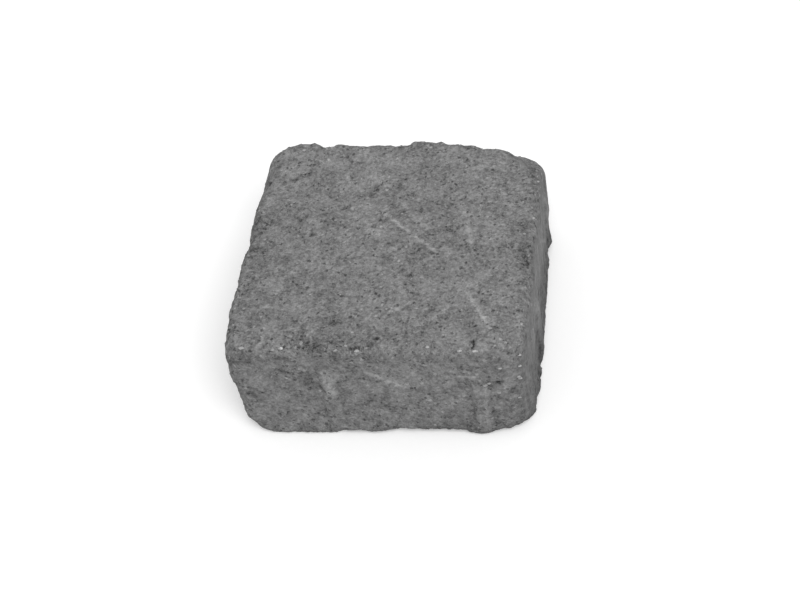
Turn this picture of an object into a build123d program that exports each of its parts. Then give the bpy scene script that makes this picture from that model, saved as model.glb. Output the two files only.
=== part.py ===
"""Square concrete paver with tumbled edges and spacer ribs, in millimetres.

The stone lies on its bed face, with +Z up and the wearing face on top. The
origin is on the bed face, under the middle of the stone. The front is -Y.
"""

from dataclasses import dataclass
from math import cos, radians, sin, sqrt

import os

from build123d import *

# Laying sizes: the stones lie on a square grid, and the ribs keep the joint open
laying_module = 140.0
joint_gap = 2.0
thickness = 60.0
body_side = laying_module - joint_gap

# Rounding of the four upright corners, in plan. Each corner is named by the side
# that it stands at the right-hand end of, as seen from outside.
corner_radii = {"front": 14.0, "right": 12.5, "back": 13.0, "left": 8.0}

# Rounding of the rims round the wearing face and round the bed face
top_edge_radius = 4.5
bed_edge_radius = 4.0

# Spacer ribs: two on each side, places measured from the middle of the side,
# from left to right as seen from outside
rib_places = (-22.0, 47.0)
rib_height = 42.0
rib_root_width = 9.0
rib_crest_width = 5.0
rib_run_out = 7.0
rib_foot_wear = 10.0
rib_edge_radius = 0.8
rib_embedment = 8.0

# Turn of each side about Z, starting from the front
side_turns = {"front": 0, "right": 90, "back": 180, "left": 270}


@dataclass(frozen=True)
class Chip:
    """A scoop knocked out of a rim when the stone was tumbled.

    along is measured from the middle of the side, from left to right as seen
    from outside. bite is the depth below the worn rim. lean is the direction
    the scoop faces, in degrees from the side's outward normal towards the rim's
    own face: 90 bites that face only, and 0 bites the side only.
    """

    side: str
    along: float
    bite: float
    radius: float
    lean: float = 45.0


@dataclass(frozen=True)
class CornerKnock:
    """A scoop knocked off a corner, named by its side as in corner_radii."""

    side: str
    bite: float
    radius: float
    lean: float = 45.0


@dataclass(frozen=True)
class RibKnock:
    """A scoop ground off a rib's crest, at its own height above the bed face.

    rib is the rib's number in rib_places, starting from 0.
    """

    side: str
    rib: int
    height: float
    bite: float
    radius: float


top_chips = (
    Chip("front", -34.0, 1.9, 30.0, 28.0),
    Chip("front", -6.0, 1.2, 44.0, 55.0),
    Chip("front", 26.0, 1.4, 54.0, 50.0),
    Chip("right", 22.0, 2.1, 16.0, 50.0),
    Chip("right", -36.0, 1.4, 32.0, 40.0),
    Chip("back", -60.0, 7.2, 44.0, 46.0),
    Chip("back", -27.0, 1.2, 30.0, 52.0),
    Chip("back", 24.0, 1.0, 160.0, 50.0),
    Chip("left", -48.0, 4.2, 90.0, 38.0),
    Chip("left", -16.0, 1.8, 16.0, 45.0),
    Chip("left", -5.0, 1.6, 60.0, 40.0),
    Chip("left", 36.0, 0.8, 28.0, 38.0),
)
bed_chips = (
    Chip("front", -18.0, 0.5, 14.0, 32.0),
    Chip("front", 20.0, 1.4, 170.0, 34.0),
    Chip("front", 56.0, 1.0, 26.0, 45.0),
    Chip("right", 47.0, 0.6, 15.0, 30.0),
    Chip("right", 8.0, 1.6, 24.0, 45.0),
    Chip("back", -12.0, 1.8, 22.0, 40.0),
    Chip("left", 6.0, 1.2, 30.0, 50.0),
)
top_corner_knocks = (
    CornerKnock("front", 1.4, 42.0, 40.0),
    CornerKnock("right", 9.0, 66.0, 52.0),
    CornerKnock("back", 2.0, 50.0, 42.0),
    CornerKnock("left", 3.0, 40.0, 44.0),
)
bed_corner_knocks = (
    CornerKnock("front", 2.6, 50.0, 40.0),
    CornerKnock("right", 1.8, 46.0, 38.0),
    CornerKnock("back", 1.4, 48.0, 45.0),
    CornerKnock("left", 5.0, 80.0, 26.0),
)
rib_knocks = (
    RibKnock("front", 0, 10.0, 1.2, 60.0),
    RibKnock("right", 1, 18.0, 1.5, 60.0),
    RibKnock("back", 0, 30.0, 1.0, 50.0),
    RibKnock("left", 1, 12.0, 0.8, 40.0),
)


def worn_block() -> Part:
    """The pressed block, with its upright corners and its rims worn round."""
    outline = Rectangle(body_side, body_side)
    half = body_side / 2
    for side, radius in corner_radii.items():
        sharp_corner = (Rot(0, 0, side_turns[side]) * Pos(half, -half, 0)).position
        outline = fillet(outline.vertices().sort_by_distance(sharp_corner)[0], radius)
    block = extrude(outline, thickness)
    block = fillet(block.faces().sort_by(Axis.Z)[-1].outer_wire().edges(), top_edge_radius)
    return fillet(block.faces().sort_by(Axis.Z)[0].outer_wire().edges(), bed_edge_radius)


def spacer_rib() -> Part:
    """One rib on the front, at the middle of the side."""
    face_y = -body_side / 2
    crest_y = face_y - joint_gap
    root_y = face_y + rib_embedment
    splay = (rib_root_width - rib_crest_width) / 2 / joint_gap
    root_half = rib_root_width / 2 + splay * rib_embedment
    crest_half = rib_crest_width / 2
    plan = make_face(
        Polyline(
            (-root_half, root_y),
            (-crest_half, crest_y),
            (crest_half, crest_y),
            (root_half, root_y),
            close=True,
        )
    )
    side_view = Plane.YZ * make_face(
        Polyline(
            (root_y, 0),
            (face_y, 0),
            (crest_y, rib_foot_wear),
            (crest_y, rib_height - rib_run_out),
            (face_y, rib_height),
            (root_y, rib_height),
            close=True,
        )
    )
    upright_bar = extrude(plan, thickness)
    rib = upright_bar & extrude(side_view, root_half, both=True)
    crest = rib.faces().sort_by(Axis.Y)[0]
    return fillet(crest.edges(), rib_edge_radius)


def spacer_ribs() -> list:
    """Both ribs of all four sides."""
    rib = spacer_rib()
    return [Rot(0, 0, turn) * Pos(place, 0, 0) * rib for turn in side_turns.values() for place in rib_places]


def chip_scoop(chip: Chip, edge_radius: float) -> Part:
    """The ball that cuts one chip out of the top rim."""
    outwards = cos(radians(chip.lean))
    upwards = sin(radians(chip.lean))
    worn_away = edge_radius * (outwards + upwards - 1)
    reach = chip.radius - chip.bite - worn_away
    centre = Pos(chip.along, -body_side / 2 - reach * outwards, thickness + reach * upwards)
    return Rot(0, 0, side_turns[chip.side]) * centre * Sphere(chip.radius)


def knock_scoop(knock: CornerKnock, edge_radius: float) -> Part:
    """The ball that cuts one knock out of a corner of the top rim."""
    outwards = cos(radians(knock.lean))
    upwards = sin(radians(knock.lean))
    corner_loss = (sqrt(2) - 1) * corner_radii[knock.side]
    worn_away = corner_loss * outwards + edge_radius * (outwards + upwards - 1)
    reach = knock.radius - knock.bite - worn_away
    half = body_side / 2
    sideways = reach * outwards / sqrt(2)
    centre = Pos(half + sideways, -half - sideways, thickness + reach * upwards)
    return Rot(0, 0, side_turns[knock.side]) * centre * Sphere(knock.radius)


def rib_scoop(knock: RibKnock) -> Part:
    """The ball that grinds one knock off a rib."""
    reach = body_side / 2 + joint_gap + knock.radius - knock.bite
    centre = Pos(rib_places[knock.rib], -reach, knock.height)
    return Rot(0, 0, side_turns[knock.side]) * centre * Sphere(knock.radius)


def paver() -> Part:
    """The whole stone, which is one pressed and tumbled piece."""
    mid_height = Plane.XY.offset(thickness / 2)
    top_scoops = [chip_scoop(chip, top_edge_radius) for chip in top_chips]
    top_scoops += [knock_scoop(knock, top_edge_radius) for knock in top_corner_knocks]
    bed_scoops = [chip_scoop(chip, bed_edge_radius) for chip in bed_chips]
    bed_scoops += [knock_scoop(knock, bed_edge_radius) for knock in bed_corner_knocks]
    bed_scoops = [mirror(ball, about=mid_height) for ball in bed_scoops]
    rib_scoops = [rib_scoop(knock) for knock in rib_knocks]
    return worn_block() + spacer_ribs() - top_scoops - bed_scoops - rib_scoops


os.makedirs("parts", exist_ok=True)
stone = paver()
export_step(stone, "parts/paver.step")
print("volume cm3", round(stone.volume / 1000, 1), "box", stone.bounding_box().size)
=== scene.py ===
"""Looks of a square concrete paver that was pressed with spacer ribs and tumbled until its rims wore round.

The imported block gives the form. A fine mesh of it takes its place, and a Geometry Nodes
tree roughens that mesh: low waves, lumps, grit and open pores over every face, flakes
broken off along the rims, the scrapes and dents of the drum, and the stones that the
wear has laid bare. The concrete's finish is worked out from the place in the block, so
it is the same material on every face.
"""

from __future__ import annotations

import logging
import math
from dataclasses import dataclass, field
from enum import Enum
from typing import Any

import bmesh
import bpy
from mathutils import Matrix, Vector

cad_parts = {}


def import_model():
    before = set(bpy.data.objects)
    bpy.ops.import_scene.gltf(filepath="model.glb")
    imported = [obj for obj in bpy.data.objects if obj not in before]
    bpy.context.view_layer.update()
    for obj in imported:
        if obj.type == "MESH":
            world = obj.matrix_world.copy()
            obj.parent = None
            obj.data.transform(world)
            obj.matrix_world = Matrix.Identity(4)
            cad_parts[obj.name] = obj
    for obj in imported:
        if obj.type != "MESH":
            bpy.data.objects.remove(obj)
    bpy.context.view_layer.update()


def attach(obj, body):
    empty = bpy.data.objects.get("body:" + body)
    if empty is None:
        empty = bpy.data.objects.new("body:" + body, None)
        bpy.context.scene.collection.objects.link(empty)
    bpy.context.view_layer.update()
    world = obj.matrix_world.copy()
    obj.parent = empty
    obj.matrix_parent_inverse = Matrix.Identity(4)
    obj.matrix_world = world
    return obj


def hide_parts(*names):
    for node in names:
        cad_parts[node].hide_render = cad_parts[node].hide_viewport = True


LOG = logging.getLogger("paver")

# Two numbers, such as a place on a face, and three, such as a place in the block
Pair = tuple[float, float]
Triple = tuple[float, float, float]

PAVER_NODE = "paver"
MM = 0.001
STONE_ATTRIBUTE = "stone_tone"
STONE_SIZE_ATTRIBUTE = "stone_size"
DRAG_ATTRIBUTE = "drag"
MARK_ATTRIBUTE = "mark"
RIM_ATTRIBUTE = "rim"

# A point with a tone above this is on a stone
LEAST_STONE_TONE = 0.01

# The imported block, in millimetres: its plain sides, the crests of its ribs, and its top
HALF_SIDE = 69.0
RIB_REACH = 71.0
THICKNESS = 60.0

# Noise runs from 0 to 1, and mostly stays within an eighth of its middle
NOISE_MIDDLE = 0.5
NOISE_GAIN = 4.0

# How far from the origin a cloud pattern is read, in its own sizes
CLOUD_SHIFT = (17.0, 5.0, 11.0)

# The soft edge of a spot, as a share of its least radius
SPOT_EDGE_SHARE = 0.35

# How much of the distance down from a face counts for a mark on it, so that it also shows on a worn rim
SUNKEN_SHARE = 0.3

# The share of a mark's width that has all of it
MARK_CORE_SHARE = 0.25

# Stands for the length of a mark that has none, squared
LEAST_RUN_SQUARED = 1e-6


class Socket:
    """A node's output. Python's arithmetic on it adds the nodes that work it out."""

    def __init__(self, tree: "Tree", output: bpy.types.NodeSocket) -> None:
        """Keeps the tree and the output.

        Args:
            tree: The tree that holds the node.
            output: The node's output.
        """
        self.tree = tree
        self.output = output

    def _math(self, operation: str, *values: Any) -> "Socket":
        """Adds a Math node.

        Args:
            operation: The node's operation.
            values: Its inputs in order, as numbers or sockets.

        Returns:
            The node's value.
        """
        return self.tree.node("ShaderNodeMath", {"operation": operation}, dict(enumerate(values)))

    def __add__(self, other: Any) -> "Socket":
        """self + other."""
        return self._math("ADD", self, other)

    def __radd__(self, other: Any) -> "Socket":
        """other + self."""
        return self._math("ADD", other, self)

    def __sub__(self, other: Any) -> "Socket":
        """self - other."""
        return self._math("SUBTRACT", self, other)

    def __rsub__(self, other: Any) -> "Socket":
        """other - self."""
        return self._math("SUBTRACT", other, self)

    def __mul__(self, other: Any) -> "Socket":
        """self * other."""
        return self._math("MULTIPLY", self, other)

    def __rmul__(self, other: Any) -> "Socket":
        """other * self."""
        return self._math("MULTIPLY", other, self)

    def __truediv__(self, other: Any) -> "Socket":
        """self / other."""
        return self._math("DIVIDE", self, other)

    def __abs__(self) -> "Socket":
        """abs(self)."""
        return self._math("ABSOLUTE", self)

    def __lt__(self, other: Any) -> "Socket":
        """1 where self is less than other, and 0 elsewhere."""
        return self._math("LESS_THAN", self, other)

    def __gt__(self, other: Any) -> "Socket":
        """1 where self is more than other, and 0 elsewhere."""
        return self._math("GREATER_THAN", self, other)

    def least(self, other: Any) -> "Socket":
        """The lesser of self and other."""
        return self._math("MINIMUM", self, other)

    def most(self, other: Any) -> "Socket":
        """The greater of self and other."""
        return self._math("MAXIMUM", self, other)

    def ramp(self, start: Any, end: Any) -> "Socket":
        """A smooth step.

        Args:
            start: The value of self at which the step is 0.
            end: The value at which it is 1, which may be below start.

        Returns:
            The step, from 0 to 1.
        """
        if not isinstance(start, Socket) and not isinstance(end, Socket) and end < start:
            return 1.0 - self.ramp(end, start)
        values = {"Value": self, "From Min": start, "From Max": end}
        return self.tree.node("ShaderNodeMapRange", {"interpolation_type": "SMOOTHSTEP"}, values)


class Draw(Enum):
    """What a random value of a stone is drawn for, by the seed of that draw."""

    TURN = 3
    SIZE = 4
    TONE = 5
    SHAPE = 6
    KIND = 8


class Tree:
    """A shader or geometry tree that is filled by one method."""

    def __init__(self, node_tree: bpy.types.NodeTree) -> None:
        """Empties the tree that it fills.

        Args:
            node_tree: Blender's own tree.
        """
        self.node_tree = node_tree
        node_tree.nodes.clear()

    def node(
        self, kind: str, settings: dict | None = None, values: dict | None = None, out: Any = 0
    ) -> Socket:
        """Adds a node.

        Args:
            kind: The node's type.
            settings: The node's own properties, which are set first.
            values: Numbers, sockets, or lists of sockets, by the input's name or its number.
            out: The name or number of the output that is wanted, counting only those in use.

        Returns:
            That output.
        """
        made = self.node_tree.nodes.new(kind)
        for name, value in (settings or {}).items():
            setattr(made, name, value)
        for key, value in (values or {}).items():
            used = [socket for socket in made.inputs if socket.enabled]
            target = used[key] if isinstance(key, int) else next(s for s in used if s.name == key)
            if isinstance(value, (Socket, list)):
                for source in value if isinstance(value, list) else [value]:
                    self.node_tree.links.new(source.output, target)
            else:
                target.default_value = value
        shown = [socket for socket in made.outputs if socket.enabled]
        if isinstance(out, int):
            return Socket(self, shown[out] if shown else None)
        return Socket(self, next(socket for socket in shown if socket.name == out))

    def vector(self, operation: str, *values: Any) -> Socket:
        """Adds a Vector Math node.

        Args:
            operation: The node's operation.
            values: Its inputs in order, as vectors, numbers or sockets.

        Returns:
            The node's value.
        """
        return self.node("ShaderNodeVectorMath", {"operation": operation}, dict(enumerate(values)))

    def parts(self, vector: Socket) -> list[Socket]:
        """The X, Y and Z of a vector."""
        split = self.node("ShaderNodeSeparateXYZ", values={0: vector}).output.node
        return [Socket(self, output) for output in split.outputs]

    def clouds(self, place: Socket, size: float, detail: float = 2.0, harshness: float = 0.5) -> Socket:
        """Adds a cloud pattern, about zero on average.

        Args:
            place: Where it is read, in millimetres.
            size: How far apart the clouds lie, in millimetres.
            detail: How many finer sizes of cloud lie on them.
            harshness: How strong the finer ones are.

        Returns:
            The pattern, from -0.5 to 0.5.
        """
        shifted = self.vector("ADD", place, tuple(clouds * size for clouds in CLOUD_SHIFT))
        values = {"Vector": shifted, "Scale": 1 / size, "Detail": detail, "Roughness": harshness}
        return self.node("ShaderNodeTexNoise", values=values) - NOISE_MIDDLE

    def scaled(self, vector: Any, scale: Any) -> Socket:
        """Multiplies a vector by a number."""
        return self.node("ShaderNodeVectorMath", {"operation": "SCALE"}, {0: vector, "Scale": scale})

    def jolts(self, place: Socket, size: float, reach: float) -> Socket:
        """Shifts a place this way and that, which makes a pattern on it ragged.

        Args:
            place: The place, in millimetres.
            size: How far apart the shifts lie, in millimetres.
            reach: About how far the place moves, in millimetres.

        Returns:
            The place where the pattern is read.
        """
        values = {"Vector": place, "Scale": 1 / size, "Detail": 1.0}
        noise = self.node("ShaderNodeTexNoise", values=values, out="Color")
        shift = self.vector("SUBTRACT", noise, (NOISE_MIDDLE,) * 3)
        return self.vector("ADD", place, self.scaled(shift, NOISE_GAIN * reach))

    def grains(self, place: Socket, size: float) -> tuple[Socket, Socket, Socket]:
        """Adds a pattern of grains.

        Args:
            place: Where it is read, in millimetres.
            size: How far apart the grains lie, in millimetres.

        Returns:
            The distance from the grain's middle in millimetres, and two numbers of the
            grain's own, from 0 to 1.
        """
        values = {"Vector": place, "Scale": 1 / size}
        distance = self.node("ShaderNodeTexVoronoi", values=values)
        colour = next(o for o in distance.output.node.outputs if o.name == "Color")
        own = self.node("ShaderNodeSeparateXYZ", values={0: Socket(self, colour)}).output.node
        return distance * size, Socket(self, own.outputs[0]), Socket(self, own.outputs[1])

    def spots(self, place: Socket, spacing: float, share: Any, radii: Pair) -> Socket:
        """Adds spots of uneven size.

        Args:
            place: Where they are read, in millimetres.
            spacing: How far apart the places for a spot lie, in millimetres.
            share: How many of those places have a spot, from 0 to 1.
            radii: The least and the greatest radius, in millimetres.

        Returns:
            1 on a spot, and 0 elsewhere.
        """
        least, most = radii
        from_middle, chance, width = self.grains(place, spacing)
        edge = SPOT_EDGE_SHARE * least
        inside = (from_middle - (least + (most - least) * width)).ramp(edge, -edge)
        return inside * (chance < share)

    def store(self, geometry: Socket, name: str, value: Any) -> Socket:
        """Keeps a value at each point of a mesh or a cloud of points.

        Args:
            geometry: What it is kept on.
            name: The attribute's name.
            value: The value.

        Returns:
            The geometry with its attribute.
        """
        settings = {"data_type": "FLOAT", "domain": "POINT"}
        values = {"Geometry": geometry, "Name": name, "Value": value}
        return self.node("GeometryNodeStoreNamedAttribute", settings, values)

    def random(self, low: Any, high: Any, draw: Draw) -> Socket:
        """A number or vector of its own for each point.

        Args:
            low: The least value.
            high: The greatest value.
            draw: What the value is drawn for.

        Returns:
            The value.
        """
        kind = {tuple: "FLOAT_VECTOR", int: "INT"}.get(type(low), "FLOAT")
        values = {"Min": low, "Max": high, "Seed": draw.value}
        return self.node("FunctionNodeRandomValue", {"data_type": kind}, values)


class Lie(Enum):
    """The face that a mark lies on, by the axis across it and its place on that axis, in millimetres."""

    TOP = (2, THICKNESS)
    FRONT = (1, -HALF_SIDE)
    RIGHT = (0, HALF_SIDE)
    BACK = (1, HALF_SIDE)
    LEFT = (0, -HALF_SIDE)

    def point(self, across: float, along: float) -> Vector:
        """A place on the face.

        Args:
            across: The lesser of the face's two own axes: X on the top, front and back, and Y on the sides.
            along: The other axis: Y on the top, and Z elsewhere.

        Returns:
            The point, in millimetres.
        """
        axis, level = self.value
        values = [across, along]
        values.insert(axis, level)
        return Vector(values)


TOP, FRONT, RIGHT, BACK, LEFT = Lie


@dataclass(frozen=True)
class Mark:
    """A scrape, dent, swelling, stain, or painted light or shade that runs from one place on a face to
    another, in millimetres.

    width is how far its sides lie from its middle. depth is how deep it is, or how proud
    where it is below zero. shade is how much paler it is than the concrete, or darker
    where it is below zero.
    """

    lie: Lie
    start: Pair
    end: Pair
    width: float
    depth: float
    shade: float = 0.0

    def reach(self, tree: Tree, place: Socket) -> Socket:
        """How much of the mark a place has.

        Args:
            tree: The tree that works it out.
            place: The place, in millimetres.

        Returns:
            1 along the mark's middle, and 0 past its sides.
        """
        start, end = self.lie.point(*self.start), self.lie.point(*self.end)
        run = end - start
        squashed = Vector((1.0, 1.0, 1.0))
        squashed[self.lie.value[0]] = SUNKEN_SHARE
        ahead = tree.vector("MULTIPLY", tree.vector("SUBTRACT", place, start), squashed)
        share = tree.vector("DOT_PRODUCT", ahead, run / max(run.length_squared, LEAST_RUN_SQUARED))
        share = share.least(1.0).most(0.0)
        away = tree.vector("SUBTRACT", ahead, tree.scaled(run, share))
        return tree.vector("LENGTH", away).ramp(self.width, MARK_CORE_SHARE * self.width)


MARKS = (
    # Scratches on the wearing face
    Mark(TOP, (-3, 17), (24.3, -8.8), 1.4, 0.15, 0.57),
    Mark(TOP, (40.6, -34.5), (52.9, -56.1), 1.3, 0.15, 0.54),
    Mark(TOP, (8.8, -45.4), (15.1, -40.5), 1.5, 0.1, 0.42),
    Mark(TOP, (25.5, -51.7), (32.4, -43.8), 1.4, 0.1, 0.42),
    Mark(TOP, (-53.5, -43.1), (-48.7, -43.1), 1.1, 0.1, 0.61),
    Mark(TOP, (-14, 44), (4, 31), 1.4, 0.1, 0.34),
    Mark(TOP, (-20.5, 22), (-19.2, 21.5), 1.1, 0, 0.47),
    # Pores in it with painted shade, and dark gatherings of them
    Mark(TOP, (-53, 42.6), (-50.8, 43.2), 1.9, 0.5, -0.56),
    Mark(TOP, (-48, 45.4), (-45.4, 46.2), 2, 0.5, -0.5),
    Mark(TOP, (-44, 14), (-41.6, 17.2), 1.6, 0.5, -0.56),
    Mark(TOP, (-32.8, 34), (-32.2, 29.6), 1.1, 0.3, -0.44),
    Mark(TOP, (-24.6, 21.6), (-21.6, 23.2), 1.6, 0.5, -0.56),
    Mark(TOP, (-11.8, 31.4), (-11, 31.4), 1.5, 0.4, -0.3),
    Mark(TOP, (-8.8, 9), (-7.6, 8.8), 1.5, 0.6, -0.75),
    Mark(TOP, (-37.4, 3.9), (-36.6, 3.9), 1.4, 0.5, -0.56),
    Mark(TOP, (-60, 13), (-58.6, 13), 1.6, 0.6, -0.5),
    Mark(TOP, (6.6, -7.2), (16.8, -6.6), 4.5, 0.2, -0.2),
    Mark(TOP, (0, -4), (3, -2), 3, 0.2, -0.24),
    Mark(TOP, (64.5, 6), (66, -19), 5, 0.9, -0.2),
    # Holes in its rim, with painted shade in them
    Mark(TOP, (-65.2, 39), (-64.2, 41.4), 1.9, 1.5, -0.9),
    Mark(TOP, (46, -64), (46.2, -67), 1.5, 1.2, -0.81),
    Mark(TOP, (2.2, -62.8), (3.2, -62.6), 1.5, 0.7, -0.62),
    Mark(TOP, (-6.6, -67), (-5.6, -67.2), 1.4, 0.7, -0.62),
    Mark(TOP, (-23.2, -68.6), (-22.2, -68.8), 1.5, 0.8, -0.75),
    Mark(TOP, (67.4, -68.4), (68.2, -69.2), 1.9, 1, -0.88),
    # Scratches on the front, a paler crest on its left rib, painted shade beside that rib and in the dent at
    # its foot, and dark gatherings
    Mark(FRONT, (-4.2, 44.5), (12.7, 34.1), 1.3, 0.15, 0.54),
    Mark(FRONT, (36.3, 41.1), (45.4, 41.1), 1, 0.1, 0.54),
    Mark(FRONT, (56.6, 46.5), (61, 46.5), 0.9, 0.1, 0.47),
    Mark(FRONT, (-22.6, 44), (-21.4, 29), 3.6, 0, 0.36),
    # Painted shade on the left flank of the left rib
    Mark(FRONT, (-26.6, 34), (-20.6, 25.6), 2.2, 0.3, -0.3),
    # Painted shade in the dent at the foot, beside the left rib
    Mark(FRONT, (-19, 2), (-12, 1.6), 2.6, 0, -0.35),
    Mark(FRONT, (-60.3, 30), (-57, 25.4), 4.2, 0.2, -0.24),
    Mark(FRONT, (-33.2, 42.4), (-31.3, 34.7), 4, 0.2, -0.24),
    Mark(FRONT, (-43.4, 45.6), (-39, 40.3), 2.6, 0.2, -0.24),
    Mark(FRONT, (-66, 50), (-57.3, 50.6), 2.2, 0.2, -0.26),
    # Fainter gatherings and drags on the wearing face
    Mark(TOP, (-11.7, 32), (-10.3, 36.2), 2.8, 0.1, -0.22),
    Mark(TOP, (-4.1, 30.4), (1.6, 35.5), 3.4, 0.1, -0.22),
    Mark(TOP, (13, 18.8), (15.2, 17.6), 2.8, 0.1, -0.3),
    Mark(TOP, (28.6, 6.4), (31, 5), 2.8, 0.1, -0.3),
    Mark(TOP, (53.8, -56.1), (55.8, -56.1), 1.8, 0.3, -0.5),
    Mark(TOP, (-19.4, -53.6), (-17.8, -53), 1.8, 0.3, -0.5),
    Mark(TOP, (2.5, 26), (15.9, 9), 1.8, 0.1, 0.3),
    Mark(TOP, (-13, 14), (-5, 3), 1.6, 0.1, 0.35),
    Mark(TOP, (-26, 44), (-17, 33), 2, 0.1, 0.25),
    Mark(TOP, (36, 12), (40, -2), 1.8, 0.1, 0.3),
    # Gatherings and pores on the front, with painted shade in the pores
    Mark(FRONT, (-44.7, 45.8), (-40.4, 43.4), 2.2, 0.3, -0.16),
    Mark(FRONT, (-33, 40.8), (-30, 39.8), 2.5, 0.4, -0.22),
    Mark(FRONT, (-61, 29), (-59.6, 28), 2, 0.4, -0.26),
    Mark(FRONT, (-55.8, 30), (-54.4, 29.4), 1.5, 0.4, -0.3),
    Mark(FRONT, (-49.3, 14.6), (-49.2, 12.8), 1.1, 0.4, -0.5),
    Mark(FRONT, (54.6, 37.2), (56.8, 37.2), 1.4, 0.8, -0.81),
    Mark(FRONT, (51.4, 17.4), (51.8, 17.4), 1.2, 0.6, -0.69),
    Mark(FRONT, (34.8, 28), (34.8, 26.4), 1.5, 0.5, -0.44),
    Mark(FRONT, (30.4, 30.2), (32, 30.2), 1.1, 0.4, -0.5),
    Mark(TOP, (66.6, -66.6), (67.2, -65.2), 2, 0.6, -0.6),
    Mark(FRONT, (67.4, 46), (66.8, 34), 2.6, 0.2, -0.26),
    Mark(FRONT, (61.4, 31), (62.4, 26), 2.4, 0.2, -0.26),
    Mark(FRONT, (62, 25.4), (64.6, 24.4), 1.8, 0, 0.4),
    # Scratches and pores on the other sides, with painted shade in the pores
    Mark(BACK, (-20, 35), (8, 22), 1.6, 0.15, 0.27),
    Mark(BACK, (30, 41), (34, 39), 2, 0.6, -0.5),
    Mark(BACK, (-49, 20), (-46, 18), 1.8, 0.6, -0.5),
    Mark(LEFT, (-30, 18), (-12, 30), 1.5, 0.15, 0.27),
    Mark(LEFT, (14, 33), (18, 35), 2, 0.6, -0.5),
    Mark(RIGHT, (18, 40), (34, 24), 1.5, 0.15, 0.27),
    Mark(RIGHT, (-8, 30), (-5, 28.6), 1.8, 0.6, -0.5),
    # Wide stains and rubbed places, and painted light and shade on the right side: paler along its top, with
    # painted shade at its foot and down its back corner
    Mark(TOP, (-58, 4), (-52, -34), 24, 0, -0.1),
    Mark(FRONT, (2, 28), (48, 26), 24, 0, 0.08),
    Mark(TOP, (44, 44), (46, 8), 22, 0, 0.08),
    Mark(TOP, (-45, 34), (-36, 44), 8, 0.2, -0.12),
    # Painted shade at the foot of the right side, darkest at the bed
    Mark(RIGHT, (-44, 0), (66, 0), 36, 0, -0.5),
    # Painted light along the top of the right side
    Mark(RIGHT, (-50, 36), (64, 38), 12, 0, 0.12),
    # Painted shade down the back-right corner, on the back and on the right side
    Mark(BACK, (68, 2), (68, 42), 9, 0, -0.3),
    Mark(RIGHT, (67, 16), (65, 44), 7, 0, -0.4),
    # A nick in the top rim, with painted shade in it
    Mark(TOP, (65.8, 50.6), (66.4, 49), 2, 0.9, -0.7),
    # Swells and dents of the top rim at the back
    Mark(TOP, (-51, 68), (-47, 68), 5, -1.3),
    Mark(TOP, (-39.5, 68), (-38, 68), 4, 0.9),
    Mark(TOP, (-33, 68), (-31.5, 68), 4, -1),
    Mark(TOP, (-11, 68), (0, 68), 5, 0.7),
    Mark(TOP, (6.5, 68), (11.5, 68), 4.5, -1),
    Mark(TOP, (18, 68), (18.5, 68), 3, -0.7),
    Mark(TOP, (32.5, 68), (38.5, 67), 6, 1.5),
    Mark(TOP, (48, 62), (51, 63), 6, -1.4),
    Mark(BACK, (62, 50), (66, 46), 7, -0.7),
    # Swells and dents of the front's foot and left corner
    Mark(FRONT, (-63, 8), (-60, 6), 7, -0.8),
    Mark(FRONT, (-53, 2), (-49, 1), 6, -0.6),
    Mark(FRONT, (-37, 1), (-30, 1), 5, -0.5),
    Mark(FRONT, (-20.5, 0), (-14.5, 0), 6, 1.1),
    Mark(FRONT, (-3.5, 0), (1, 0), 5, 0.9),
    Mark(FRONT, (6.5, 0), (15, 0), 6, 1.3),
    Mark(FRONT, (22, 0), (26, 0), 5, 1),
    Mark(FRONT, (32, 0), (34.5, 0), 5, 1.3),
    Mark(FRONT, (52.5, 1), (58, 2), 6, 1.1),
    Mark(FRONT, (-68.5, 27), (-67.5, 16), 7, 1.4),
    # Swells and dents of the right and left sides
    Mark(RIGHT, (58, 40), (56, 30), 8, -0.7),
    Mark(RIGHT, (49.5, 3), (44, 6), 4.5, 2),
    Mark(RIGHT, (15, 3), (-7, 3), 8, -0.55),
    Mark(RIGHT, (-36, 3), (-43, 4), 7, -0.9),
    Mark(LEFT, (62, 54), (30, 53), 9, -0.6),
    Mark(LEFT, (2, 56), (-3, 56), 5, 0.8),
    Mark(LEFT, (-28, 57), (-34, 57), 5, 0.6),
    Mark(LEFT, (-50, 57), (-57, 57), 6, 1.1),
)


@dataclass(frozen=True)
class BareStone:
    """A stone laid bare near a place that was chosen, in millimetres.

    size is how far it reaches across, and tone from 0, as dark as they come, to 2, white.
    """

    place: Triple
    size: float
    tone: float


BARE_STONES = (
    BareStone((-59.3, -67.4, 59), 2.3, 1.2),
    BareStone((-44.7, -68.4, 58.6), 1.7, 0.8),
    BareStone((-41.2, -67.8, 59), 2.1, 2),
    BareStone((-15.8, -68.4, 58.4), 1.9, 0.8),
    BareStone((-6.2, -68.6, 58.2), 2.2, 1.2),
    BareStone((25.8, -67, 59), 1.9, 1.3),
    BareStone((31.8, -60.8, 60), 1.8, 1.5),
    BareStone((40.1, -68.6, 58.2), 1.9, 1.2),
    BareStone((47.2, -68.6, 58), 2.3, 1.3),
    BareStone((55.5, -66.4, 59.2), 1.4, 1.1),
    BareStone((63.4, -67.8, 58), 1.7, 0.9),
    BareStone((67.4, 39, 58.6), 1.6, 1),
    BareStone((67, 13.6, 58.8), 1.6, 1),
    BareStone((64, 3, 60), 1.4, 0.9),
    BareStone((65.4, -67.6, 37.7), 1.9, 1.1),
    BareStone((64.3, -67.8, 24), 1.7, 1),
    BareStone((49.9, -71, 37.1), 1.9, 1),
    BareStone((30.2, -69, 23.2), 1, 1),
    BareStone((67.4, -66.8, 51.5), 1.7, 1.3),
    BareStone((66.3, -67, 44.5), 1.9, 1.3),
    BareStone((65.8, -67.2, 37), 2.1, 1.4),
    BareStone((57, -69, 46.5), 1.6, 1.1),
    BareStone((51.2, -70, 37.4), 1.6, 1.1),
)


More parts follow.
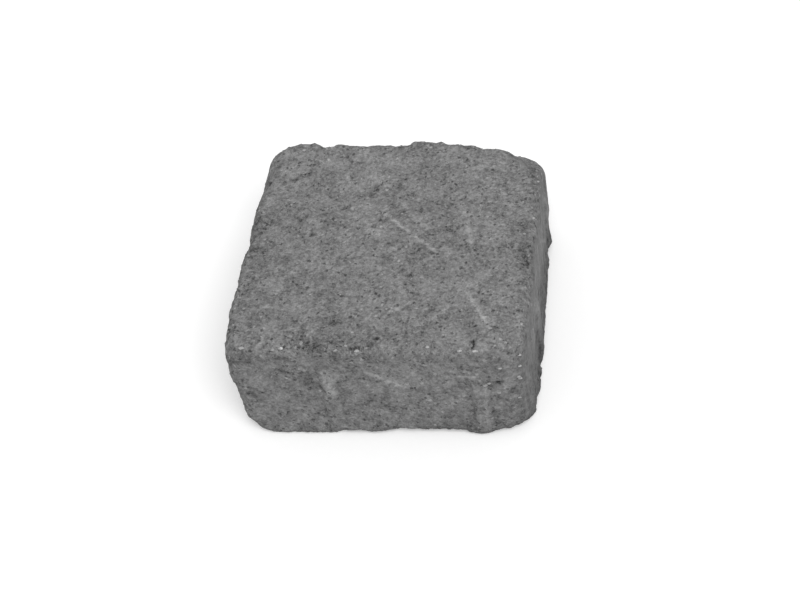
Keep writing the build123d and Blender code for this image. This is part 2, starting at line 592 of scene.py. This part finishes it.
@dataclass(frozen=True)
class ConcreteFinish:
    """Grey pressed concrete: cement paste, sand of many tones, open pores and worn stones.

    Tones are linear, and sizes are in millimetres. The strengths are shares of the mean tone.
    """

    name: str = "tumbled_concrete"
    tone: float = 0.19
    least_tone: float = 0.012
    roughness: float = 0.94
    stone_polish: float = 0.12
    rim_roughening: float = 0.03
    # Clouds, patches and the mix of paste and sand
    cloud_size: float = 36.0
    cloud_strength: float = 0.5
    patch_size: float = 7.0
    patch_strength: float = 1.5
    patch_harshness: float = 0.6
    mix_size: float = 2.4
    mix_strength: float = 1.5
    mix_harshness: float = 0.7
    fine_detail: float = 3.0
    # Single grains of sand and dust
    sand_size: float = 1.1
    sand_strength: float = 0.5
    dust_size: float = 0.55
    dust_strength: float = 0.45
    # Where pores and pale grains crowd, and how ragged their edges are
    crowd_size: float = 13.0
    crowd_shift: Triple = (31.0, 7.0, 3.0)
    crowd_from: float = -0.1
    crowd_full: float = 0.12
    jolt_size: float = 1.2
    jolt_reach: float = 0.45
    # Pores with painted shade in them, and what marks and rims do to the shade
    pit_spacing: float = 1.9
    pit_radii: Pair = (0.3, 0.85)
    pit_share: float = 0.04
    pit_share_in_crowds: float = 0.24
    pit_share_on_rims: float = 0.16
    pit_share_in_marks: float = 2.2
    shade_without_pits: float = -0.1
    # Painted shade in the pores
    pit_painted_shade: float = 0.58
    mark_wear: float = 2.5
    # Painted shade on the rims, which takes off some of the light that they catch
    rim_painted_shade: float = 0.1
    # Pale grains
    grain_spacing: float = 2.3
    grain_radii: Pair = (0.3, 0.9)
    grain_share: float = 0.04
    grain_share_in_crowds: float = 0.1
    grain_share_on_rims: float = 0.16
    grain_lightness: float = 0.75
    # Bare stones
    stone_lightness: float = 1.1
    stone_middle_tone: float = 0.25
    stone_evenness: float = 0.4
    stone_sandiness: float = 1.2
    stone_mixing: float = 0.8
    # Upright streaks that the mould drew on the sides
    drag_width: float = 1.3
    drag_length: float = 22.0
    drag_strength: float = 0.75
    drag_harshness: float = 0.6
    drag_smoothing: float = 0.55
    # The bump, and each pattern's share of it
    bump_height: float = 0.25
    mix_relief: float = 1.2
    sand_relief: float = 0.35
    dust_relief: float = 0.25
    pit_relief: float = 1.4
    grain_relief: float = 0.5
    fuzz_relief: float = 0.8
    fuzz_size: float = 0.9

    def material(self) -> bpy.types.Material:
        """Makes the concrete.

        Returns:
            The material.
        """
        material = bpy.data.materials.new(self.name)
        material.use_nodes = True
        tree = Tree(material.node_tree)
        place = tree.scaled(tree.node("ShaderNodeTexCoord", out="Object"), 1 / MM)
        rim, mark, stone, drag_share = (
            tree.node("ShaderNodeAttribute", {"attribute_name": name}, out="Fac")
            for name in (RIM_ATTRIBUTE, MARK_ATTRIBUTE, STONE_ATTRIBUTE, DRAG_ATTRIBUTE)
        )
        clouds = tree.clouds(place, self.cloud_size)
        patches = tree.clouds(place, self.patch_size, self.fine_detail, self.patch_harshness)
        mix = tree.clouds(place, self.mix_size, self.fine_detail, self.mix_harshness)
        _, sand, _ = tree.grains(place, self.sand_size)
        _, dust, _ = tree.grains(place, self.dust_size)
        crowd = tree.clouds(tree.vector("ADD", place, self.crowd_shift), self.crowd_size)
        crowd = crowd.ramp(self.crowd_from, self.crowd_full)
        ragged = tree.jolts(place, self.jolt_size, self.jolt_reach)
        pit_share = self.pit_share + self.pit_share_in_crowds * crowd + self.pit_share_on_rims * rim
        pit_share = pit_share + self.pit_share_in_marks * (self.shade_without_pits - mark).most(0.0)
        pit = tree.spots(ragged, self.pit_spacing, pit_share, self.pit_radii)
        grain_share = self.grain_share + self.grain_share_in_crowds * crowd + self.grain_share_on_rims * rim
        grain = tree.spots(ragged, self.grain_spacing, grain_share, self.grain_radii)
        drag_scale = (1 / self.drag_width, 1 / self.drag_width, 1 / self.drag_length)
        stretched = tree.vector("MULTIPLY", place, drag_scale)
        drag = tree.clouds(stretched, 1.0, harshness=self.drag_harshness)

        rough_share = 1.0 - self.drag_smoothing * drag_share
        shade = 1.0 + self.cloud_strength * clouds + self.patch_strength * patches
        fine = self.mix_strength * mix
        fine = fine + self.sand_strength * (sand - NOISE_MIDDLE) + self.dust_strength * (dust - NOISE_MIDDLE)
        shade = shade + fine * rough_share + self.drag_strength * drag * drag_share
        # Pale grains, and painted shade on the rims
        shade = shade + self.grain_lightness * grain * rough_share - self.rim_painted_shade * rim
        # Marks bring stains, scratches and pores, and painted light and shade on the ribs and the right side
        shade = shade + mark * (1.0 + self.mark_wear * mix).most(0.0)
        # Painted shade in the pores
        shade = shade * (1.0 - self.pit_painted_shade * pit * rough_share)
        is_stone = stone > LEAST_STONE_TONE
        speckle = self.stone_evenness + self.stone_sandiness * sand
        stone_shade = 1.0 + self.stone_lightness * (stone - self.stone_middle_tone) * speckle
        stone_shade = stone_shade + self.stone_mixing * mix
        shade = shade + is_stone * (stone_shade - shade)
        tone = (shade * self.tone).most(self.least_tone)
        colour = tree.node("ShaderNodeCombineXYZ", values={0: tone, 1: tone, 2: tone})

        relief = self.mix_relief * mix + self.sand_relief * sand + self.dust_relief * dust
        relief = relief - self.pit_relief * pit + self.grain_relief * grain
        relief = relief + self.fuzz_relief * tree.clouds(place, self.fuzz_size)
        bump = tree.node("ShaderNodeBump", values={"Height": relief, "Distance": self.bump_height * MM})
        values = {
            "Base Color": colour,
            "Roughness": self.roughness - self.stone_polish * is_stone + self.rim_roughening * rim,
            "Normal": bump,
        }
        surface = tree.node("ShaderNodeBsdfPrincipled", values=values)
        tree.node("ShaderNodeOutputMaterial", values={"Surface": surface})
        return material


@dataclass
class PaverBlock:
    """The block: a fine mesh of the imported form, roughened as pressed and tumbled concrete is.

    Sizes are in millimetres, as the tree's named inputs are.
    """

    name: str = "paver_block"
    half_side: float = HALF_SIDE
    rib_reach: float = RIB_REACH
    thickness: float = THICKNESS
    join_distance: float = 0.001
    mesh_size: float = 0.95
    seed: int = 7
    heights: dict[str, float] = field(
        default_factory=lambda: {
            "Wave Height": 1.0,
            "Lump Height": 0.9,
            "Grit Height": 0.7,
            "Pore Depth": 0.9,
            "Flake Depth": 1.3,
            "Stone Size": 1.7,
        }
    )
    # Relief: the patterns' sizes, and their shares of the heights above
    wave_size: float = 42.0
    wave_detail: float = 1.0
    lump_size: float = 11.0
    lump_share: float = 0.6
    lump_share_on_rims: float = 0.9
    grit_size: float = 2.8
    grit_share: float = 0.7
    grit_share_on_rims: float = 0.8
    harshness: float = 0.6
    pore_spacing: float = 4.6
    pore_share: float = 0.32
    least_pore_radius: float = 0.5
    pore_radius_range: float = 0.7
    pore_edge: float = 0.5
    flake_size: float = 6.5
    flake_shift: float = 3.0
    flake_share: float = 0.55
    break_size: float = 5.5
    break_share: float = 1.4
    break_level: float = 0.85
    lift: float = 0.12
    level_face_loss: float = 0.3
    level_face_start: float = -2.0
    # Bare stones: how many on a square millimetre, how they lie and vary, and the foot that has none
    stone_density_on_rims: float = 0.028
    stone_density_on_faces: float = 0.004
    stone_variety: int = 5
    stone_proudness: float = 0.04
    stone_sinking: float = 0.45
    stone_turns: Triple = (0.3, 0.3, 0.5)
    least_stone_share: float = 0.45
    stone_tones: Pair = (0.02, 0.8)
    least_stone_shape: Triple = (0.9, 0.5, 0.3)
    most_stone_shape: Triple = (1.4, 0.8, 0.55)
    stone_radius: float = 0.45
    stone_subdivisions: int = 2
    stone_noise_shift: float = 3.0
    stone_noise_scale: float = 2.2
    stone_knocks: float = 1.1
    stoneless: float = 1.5
    # Rims and corners, by how far they reach inwards, and how they wear round
    rim_width: float = 10.0
    rim_core: float = 2.0
    corner_width: float = 17.0
    corner_core: float = 8.0
    softening_steps: int = 24
    rim_softening: float = 0.25
    corner_softening: float = 0.6
    # Streaks, by how upright a surface is and how far it faces to the right
    upright_from: float = 0.6
    upright_full: float = 0.3
    drag_on_sides: float = 0.2
    drag_side_from: float = 0.5
    drag_side_full: float = 0.8
    # Rib crests, by how far they stand out of the side, and the painted shade beside them
    crest_from: float = 0.3
    crest_full: float = 1.5
    crest_shade: float = 0.10
    crest_halo_steps: int = 14
    beside_crest_painted_shade: float = -0.55
    finish: ConcreteFinish = ConcreteFinish()

    def base_mesh(self) -> bpy.types.Mesh:
        """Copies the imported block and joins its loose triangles.

        Returns:
            The closed mesh.
        """
        mesh = bpy.data.objects[PAVER_NODE].data.copy()
        mesh.materials.clear()
        working = bmesh.new()
        working.from_mesh(mesh)
        bmesh.ops.remove_doubles(working, verts=working.verts, dist=self.join_distance * MM)
        working.to_mesh(mesh)
        working.free()
        return mesh

    def rim_share(self, tree: Tree, place: Socket) -> Socket:
        """How near a place is to a rim or an upright corner.

        Args:
            tree: The tree that works it out.
            place: The place, in millimetres.

        Returns:
            1 on the rim, and 0 from the rim's width inwards.
        """
        across, along, upright = self.overhangs(tree, place)
        second = across.least(along).most(across.most(along).least(upright))
        return second.ramp(-self.rim_width, -self.rim_core)

    def overhangs(self, tree: Tree, place: Socket) -> tuple[Socket, Socket, Socket]:
        """How far a place lies outside the sides, the front and back, and the top and bed.

        Args:
            tree: The tree that works it out.
            place: The place, in millimetres.

        Returns:
            Three distances in millimetres, below zero inside.
        """
        x, y, z = tree.parts(place)
        half_thickness = self.thickness / 2
        return abs(x) - self.half_side, abs(y) - self.half_side, abs(z - half_thickness) - half_thickness

    def softened(self, tree: Tree, skin: Socket) -> Socket:
        """Wears the ridges between the knocks and the rims round, most of all at the corners.

        Args:
            tree: The tree.
            skin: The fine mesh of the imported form.

        Returns:
            The softened mesh.
        """
        position = tree.node("GeometryNodeInputPosition")
        place = tree.scaled(position, 1 / MM)
        across, along, upright = self.overhangs(tree, place)
        corner = across.least(along).least(upright).ramp(-self.corner_width, -self.corner_core)
        weight = self.rim_softening * self.rim_share(tree, place) + self.corner_softening * corner
        values = {"Value": position, "Iterations": self.softening_steps, "Weight": weight}
        worn = tree.node("GeometryNodeBlurAttribute", {"data_type": "FLOAT_VECTOR"}, values)
        return tree.node("GeometryNodeSetPosition", values={"Geometry": skin, "Position": worn})

    def crests(self, tree: Tree, place: Socket) -> Socket:
        """The shade of the ribs: paler on the crest, and painted shade beside it, where the rib shades the
        side.

        Args:
            tree: The tree.
            place: The place, in millimetres.

        Returns:
            The shade, as a mark has it.
        """
        across, along, _ = self.overhangs(tree, place)
        crest = across.most(along).ramp(self.crest_from, self.crest_full)
        values = {"Value": crest, "Iterations": self.crest_halo_steps}
        halo = tree.node("GeometryNodeBlurAttribute", {"data_type": "FLOAT"}, values)
        # Paler on the crest, and painted shade where the blurred crest spreads beside it
        return self.crest_shade * crest + self.beside_crest_painted_shade * (halo - crest).most(0.0)

    def relief(self, tree: Tree, place: Socket, rim: Socket, inputs: dict[str, Socket]) -> Socket:
        """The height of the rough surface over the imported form.

        Args:
            tree: The tree that works it out.
            place: The place, in millimetres.
            rim: How near it is to a rim.
            inputs: The tree's named inputs.

        Returns:
            The height in millimetres, mostly below zero.
        """
        waves = tree.clouds(place, self.wave_size, self.wave_detail)
        lumps = tree.clouds(place, self.lump_size)
        grit = tree.clouds(place, self.grit_size, harshness=self.harshness)
        from_middle, chance, width = tree.grains(place, self.pore_spacing)
        pore = from_middle - (self.least_pore_radius + self.pore_radius_range * width)
        pore = pore.ramp(self.pore_edge, -self.pore_edge) * (chance < self.pore_share)
        shifted = tree.vector("ADD", place, (self.flake_shift,) * 3)
        _, flake, _ = tree.grains(shifted, self.flake_size)
        breaks = tree.clouds(place, self.break_size, harshness=self.harshness)
        height = inputs["Wave Height"] * waves
        height = height + inputs["Lump Height"] * lumps * (self.lump_share + self.lump_share_on_rims * rim)
        height = height + inputs["Grit Height"] * grit * (self.grit_share + self.grit_share_on_rims * rim)
        height = height - inputs["Pore Depth"] * pore
        broken = (self.flake_share * flake + self.break_share * breaks).most(0.0)
        height = height + inputs["Flake Depth"] * (self.break_level - broken) * rim
        level_face = self.overhangs(tree, place)[2].ramp(self.level_face_start, 0.0)
        return height + self.lift - self.level_face_loss * level_face

    def surface_tree(self) -> bpy.types.NodeTree:
        """Builds the tree that roughens the block and sets stones in it.

        Returns:
            The tree, with named inputs for its sizes, its seed and its material.
        """
        group = bpy.data.node_groups.new("rough_concrete", "GeometryNodeTree")
        group.interface.new_socket("Geometry", in_out="OUTPUT", socket_type="NodeSocketGeometry")
        group.interface.new_socket("Geometry", in_out="INPUT", socket_type="NodeSocketGeometry")
        for name in self.heights:
            group.interface.new_socket(name, in_out="INPUT", socket_type="NodeSocketFloat")
        group.interface.new_socket("Seed", in_out="INPUT", socket_type="NodeSocketInt")
        group.interface.new_socket("Concrete", in_out="INPUT", socket_type="NodeSocketMaterial")
        tree = Tree(group)
        entry = tree.node("NodeGroupInput").output.node
        inputs = {socket.name: Socket(tree, socket) for socket in entry.outputs if socket.name}

        position = tree.node("GeometryNodeInputPosition")
        place = tree.scaled(position, 1 / MM)
        rim = self.rim_share(tree, place)
        mark, dents = self.crests(tree, place), 0.0
        for one in MARKS:
            reach = one.reach(tree, place)
            mark = reach * one.shade + mark
            dents = reach * one.depth + dents
        normal = tree.node("GeometryNodeInputNormal")
        across, up = tree.parts(normal)[0], abs(tree.parts(normal)[2])
        right_side = across.ramp(self.drag_side_from, self.drag_side_full)
        drag = self.drag_on_sides + (1.0 - self.drag_on_sides) * right_side
        drag = up.ramp(self.upright_from, self.upright_full) * drag

        skin = self.softened(tree, inputs["Geometry"])
        for name, value in ((RIM_ATTRIBUTE, rim), (MARK_ATTRIBUTE, mark), (DRAG_ATTRIBUTE, drag)):
            skin = tree.store(skin, name, value)
        height = self.relief(tree, place, rim, inputs) - dents
        offset = tree.scaled(normal, height * MM)
        skin = tree.node("GeometryNodeSetPosition", values={"Geometry": skin, "Offset": offset})
        skin = tree.node("GeometryNodeSetShadeSmooth", values={"Geometry": skin})

        skin = self.kept_in_box(tree, skin, self.stone_proudness)
        stones = self.kept_in_box(tree, self.stones(tree, skin, rim, inputs), 0.0)
        whole = tree.node("GeometryNodeJoinGeometry", values={"Geometry": [skin, stones]})
        whole = tree.node("GeometryNodeRealizeInstances", values={"Geometry": whole})
        values = {"Geometry": whole, "Material": inputs["Concrete"]}
        whole = tree.node("GeometryNodeSetMaterial", values=values)
        tree.node("NodeGroupOutput", values={"Geometry": whole})
        return group

    def stones(self, tree: Tree, skin: Socket, rim: Socket, inputs: dict[str, Socket]) -> Socket:
        """Sets stones that the wear has laid bare, most of them on the rims.

        Args:
            tree: The tree.
            skin: The roughened block.
            rim: How near a place is to a rim.
            inputs: The tree's named inputs.

        Returns:
            The stones, half sunk in the block.
        """
        height = tree.parts(tree.node("GeometryNodeInputPosition"))[2]
        spread = self.stone_density_on_rims * rim + self.stone_density_on_faces
        spread = spread * (height > self.stoneless * MM)
        values = {"Mesh": skin, "Density": spread / MM**2, "Seed": inputs["Seed"]}
        scattered = tree.node("GeometryNodeDistributePointsOnFaces", values=values)
        rotation = Socket(tree, scattered.output.node.outputs["Rotation"])
        other_way = tuple(-turn for turn in self.stone_turns)
        turned = tree.random(other_way, self.stone_turns, Draw.TURN)
        size = inputs["Stone Size"] * tree.random(self.least_stone_share, 1.0, Draw.SIZE) * MM
        scattered = tree.store(scattered, STONE_SIZE_ATTRIBUTE, size)
        tone = tree.random(*self.stone_tones, Draw.TONE)
        scattered = tree.store(scattered, STONE_ATTRIBUTE, tone)
        chosen = []
        for stone in BARE_STONES:
            values = {"Count": 1, "Position": Vector(stone.place) * MM}
            point = tree.node("GeometryNodePoints", values=values)
            point = tree.store(point, STONE_SIZE_ATTRIBUTE, stone.size * MM)
            chosen.append(tree.store(point, STONE_ATTRIBUTE, stone.tone))
        chosen = tree.node("GeometryNodeJoinGeometry", values={"Geometry": chosen})
        nearest = tree.node("GeometryNodeProximity", {"target_element": "FACES"}, {0: skin})
        chosen = tree.node("GeometryNodeSetPosition", values={"Geometry": chosen, "Position": nearest})
        points = tree.node("GeometryNodeJoinGeometry", values={"Geometry": [scattered, chosen]})
        points = self.kept_in_box(tree, points, self.stone_sinking)
        values = {"Name": STONE_SIZE_ATTRIBUTE}
        width = tree.node("GeometryNodeInputNamedAttribute", {"data_type": "FLOAT"}, values)
        shape = tree.random(self.least_stone_shape, self.most_stone_shape, Draw.SHAPE)
        values = {
            "Points": points,
            "Instance": self.stone_shapes(tree),
            "Pick Instance": True,
            "Instance Index": tree.random(0, self.stone_variety - 1, Draw.KIND),
            "Rotation": rotation,
            "Scale": tree.scaled(shape, width),
        }
        placed = tree.node("GeometryNodeInstanceOnPoints", values=values)
        values = {"Instances": placed, "Rotation": turned}
        placed = tree.node("GeometryNodeRotateInstances", values=values)
        return tree.node("GeometryNodeRealizeInstances", values={"Geometry": placed})

    def stone_shapes(self, tree: Tree) -> Socket:
        """Makes angular stones to choose from, each about 1 across.

        Args:
            tree: The tree.

        Returns:
            The stones, as separate instances.
        """
        position = tree.node("GeometryNodeInputPosition")
        shapes = []
        for count in range(self.stone_variety):
            values = {"Radius": self.stone_radius, "Subdivisions": self.stone_subdivisions}
            ball = tree.node("GeometryNodeMeshIcoSphere", values=values)
            place = tree.vector("ADD", position, (self.stone_noise_shift * count, 0.0, 0.0))
            values = {"Vector": place, "Scale": self.stone_noise_scale}
            noise = tree.node("ShaderNodeTexNoise", values=values, out="Color")
            offset = tree.vector("SUBTRACT", noise, (NOISE_MIDDLE,) * 3)
            offset = tree.scaled(offset, self.stone_knocks)
            knocked = tree.node("GeometryNodeSetPosition", values={"Geometry": ball, "Offset": offset})
            hull = tree.node("GeometryNodeConvexHull", values={"Geometry": knocked})
            shapes.append(tree.node("GeometryNodeGeometryToInstance", values={"Geometry": hull}))
        return tree.node("GeometryNodeJoinGeometry", values={"Geometry": shapes})

    def kept_in_box(self, tree: Tree, geometry: Socket, margin: float) -> Socket:
        """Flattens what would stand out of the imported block's box.

        Args:
            tree: The tree.
            geometry: The block's skin or its stones.
            margin: How far inside the box it stays, in millimetres.

        Returns:
            The same, inside the box.
        """
        position = tree.node("GeometryNodeInputPosition")
        reach = (self.rib_reach - margin) * MM
        inside = tree.vector("MAXIMUM", position, (-reach, -reach, margin * MM))
        inside = tree.vector("MINIMUM", inside, (reach, reach, (self.thickness - margin) * MM))
        return tree.node("GeometryNodeSetPosition", values={"Geometry": geometry, "Position": inside})

    def build(self) -> bpy.types.Object:
        """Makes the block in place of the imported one.

        Returns:
            The finished piece.
        """
        block = bpy.data.objects.new(self.name, self.base_mesh())
        bpy.context.scene.collection.objects.link(block)
        fine = block.modifiers.new("fine_mesh", "REMESH")
        fine.mode = "VOXEL"
        fine.voxel_size = self.mesh_size * MM
        fine.use_smooth_shade = True
        rough = block.modifiers.new("rough_concrete", "NODES")
        rough.node_group = self.surface_tree()
        given = {**self.heights, "Seed": self.seed, "Concrete": self.finish.material()}
        for socket in rough.node_group.interface.items_tree:
            if socket.in_out == "INPUT" and socket.name in given:
                rough[socket.identifier] = given[socket.name]
        evaluated = block.evaluated_get(bpy.context.evaluated_depsgraph_get())
        mesh = bpy.data.meshes.new_from_object(evaluated)
        block.modifiers.clear()
        block.data = mesh
        mesh.name = self.name
        LOG.info("%s: %d triangles", self.name, sum(len(p.vertices) - 2 for p in mesh.polygons))
        return block

    def place(self) -> bpy.types.Object:
        """Builds the block and says what it stands for.

        Returns:
            The finished piece.
        """
        block = self.build()
        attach(block, "root")
        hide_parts(PAVER_NODE)
        return block


@dataclass(frozen=True)
class Studio:
    """A white floor and backdrop with soft light, on which the block keeps its shadow."""

    floor_size: float = 12.0
    floor_tone: float = 0.5
    floor_tone_seen: float = 0.98
    floor_glow: float = 0.12
    sky_light: float = 0.52
    sun_light: float = 0.50
    sun_direction: Triple = (0.25, -0.52, 0.75)
    sun_softness: float = math.radians(40.0)

    def floor_material(self) -> bpy.types.Material:
        """Makes a floor that the camera sees as white.

        Returns:
            The material.
        """
        material = bpy.data.materials.new("white_floor")
        material.use_nodes = True
        tree = Tree(material.node_tree)
        seen = self.seen(tree)
        level = self.floor_tone + (self.floor_tone_seen - self.floor_tone) * seen
        colour = tree.node("ShaderNodeCombineXYZ", values={0: level, 1: level, 2: level})
        glow = tree.node("ShaderNodeEmission", values={"Strength": self.floor_glow * seen})
        matt = tree.node("ShaderNodeBsdfDiffuse", values={"Color": colour})
        surface = tree.node("ShaderNodeAddShader", values={0: matt, 1: glow})
        tree.node("ShaderNodeOutputMaterial", values={"Surface": surface})
        return material

    def seen(self, tree: Tree) -> Socket:
        """Whether a ray shows the surroundings, straight or in a gloss.

        Args:
            tree: The shader tree.

        Returns:
            1 where it does, and 0 where it only carries light.
        """
        path = tree.node("ShaderNodeLightPath").output.node
        names = ("Is Camera Ray", "Is Glossy Ray", "Is Transmission Ray")
        camera, glossy, passed = (Socket(tree, path.outputs[name]) for name in names)
        return camera.most(glossy).most(passed)

    def floor(self) -> bpy.types.Object:
        """Lays the floor.

        Returns:
            The floor.
        """
        mesh = bpy.data.meshes.new("floor")
        half = self.floor_size / 2
        corners = [(-half, -half, 0), (half, -half, 0), (half, half, 0), (-half, half, 0)]
        mesh.from_pydata(corners, [], [(0, 1, 2, 3)])
        mesh.materials.append(self.floor_material())
        floor = bpy.data.objects.new("floor", mesh)
        bpy.context.scene.collection.objects.link(floor)
        return floor

    def surroundings(self) -> bpy.types.World:
        """Makes a plain world that is white where it is seen.

        Returns:
            The world.
        """
        world = bpy.data.worlds.new("studio")
        world.use_nodes = True
        tree = Tree(world.node_tree)
        strength = self.sky_light + (1.0 - self.sky_light) * self.seen(tree)
        background = tree.node("ShaderNodeBackground", values={"Color": (1, 1, 1, 1), "Strength": strength})
        tree.node("ShaderNodeOutputWorld", values={"Surface": background})
        bpy.context.scene.world = world
        return world

    def sun(self) -> bpy.types.Object:
        """Hangs the wide soft lamp.

        Returns:
            The lamp.
        """
        towards = Vector(self.sun_direction).normalized()
        lamp = bpy.data.lights.new("soft_lamp", "SUN")
        lamp.angle = self.sun_softness
        lamp.energy = self.sun_light * math.pi / towards.z
        sun = bpy.data.objects.new("soft_lamp", lamp)
        sun.rotation_euler = towards.to_track_quat("Z", "Y").to_euler()
        bpy.context.scene.collection.objects.link(sun)
        return sun

    def build(self) -> None:
        """Makes the floor, the surroundings and the lamp."""
        self.floor()
        self.surroundings()
        self.sun()


@dataclass(frozen=True)
class Viewpoint:
    """The camera, placed by how the block lies in the photograph. Lengths are in metres."""

    turn: float = math.radians(14.54)
    tilt: float = math.radians(44.27)
    roll: float = math.radians(-10.91)
    distance: float = 0.8482
    block_middle: Triple = (0.0, 0.0, 0.030)
    focal_length: float = 79.18
    sensor_width: float = 36.0
    clip: Pair = (0.01, 50.0)
    picture_width: int = 800
    picture_height: int = 600
    block_pixel: Pair = (396.4, 283.5)

    def build(self) -> bpy.types.Object:
        """Sets up the camera.

        Returns:
            The camera.
        """
        lens = bpy.data.cameras.new("camera")
        lens.lens = self.focal_length
        lens.sensor_width = self.sensor_width
        lens.clip_start, lens.clip_end = self.clip
        pixel = self.sensor_width / self.picture_width / self.focal_length
        right = (self.block_pixel[0] - self.picture_width / 2) * pixel
        up = (self.picture_height / 2 - self.block_pixel[1]) * pixel
        tilted = Matrix.Rotation(self.turn, 4, "Z") @ Matrix.Rotation(self.tilt, 4, "X")
        turned = tilted @ Matrix.Rotation(self.roll, 4, "Z")
        middle_seen = Vector((right, up, -1.0)) * self.distance
        camera = bpy.data.objects.new("camera", lens)
        camera.matrix_world = Matrix.Translation(Vector(self.block_middle) - turned @ middle_seen) @ turned
        bpy.context.scene.collection.objects.link(camera)
        bpy.context.scene.camera = camera
        return camera


def main() -> None:
    """Builds the camera, the studio and the block."""
    logging.basicConfig(level=logging.INFO, format="%(name)s: %(message)s")
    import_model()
    bpy.context.scene.view_settings.view_transform = "Standard"
    Viewpoint().build()
    Studio().build()
    block = PaverBlock().place()
    LOG.info("%s stands for %s, with %d points", block.name, PAVER_NODE, len(block.data.vertices))


if __name__ == "__main__":
    main()
